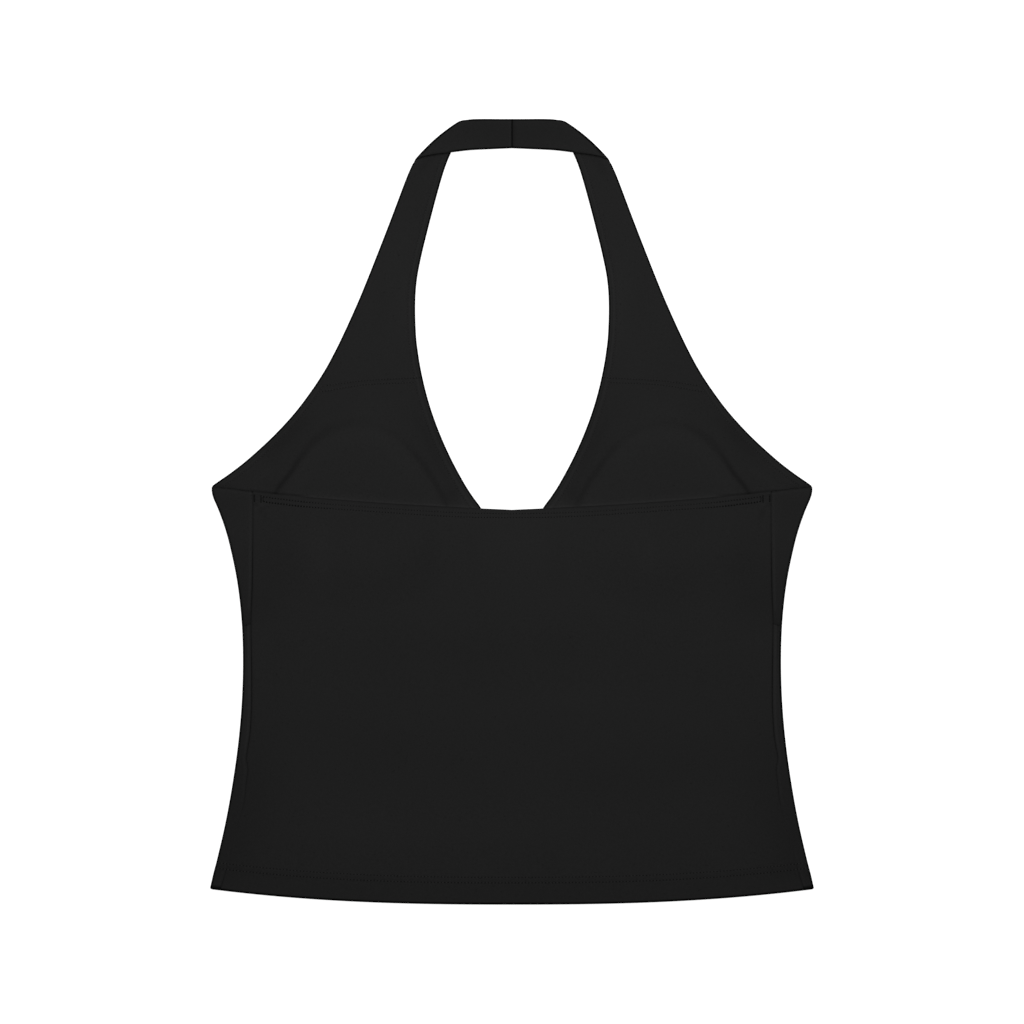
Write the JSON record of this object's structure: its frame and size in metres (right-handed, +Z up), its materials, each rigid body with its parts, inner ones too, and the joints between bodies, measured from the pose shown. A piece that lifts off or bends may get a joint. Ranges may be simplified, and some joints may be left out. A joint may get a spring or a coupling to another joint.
{
  "type": "halter neck top",
  "caption": "Close-fitting halter neck top in smooth black jersey, lined and padded at the bust, laid flat with its back up.",
  "frame": {"origin": "centre of the bounding box in X and Y, on the surface that the top lies on", "axes": "+Y from the hem to the neck, +X to the right seen from above, +Z up from the surface, out of the garment's back"},
  "size_m": [0.38, 0.4961, 0.0097],
  "materials": {
    "front_jersey": "smooth matt knit",
    "back_jersey": "smooth matt knit",
    "lining_jersey": "smooth matt knit",
    "pad_foam": "brushed foam laminate",
    "strap_jersey": "smooth matt knit",
    "sewing_thread": "matt thread"
  },
  "bodies": {
    "root": {"front_body": "front_jersey", "front_bust": "front_jersey", "back": "back_jersey", "bust_lining": "lining_jersey", "cup_pad_left": "pad_foam", "cup_pad_right": "pad_foam", "strap_left": "strap_jersey", "strap_right": "strap_jersey"}
  },
  "joints": []
}
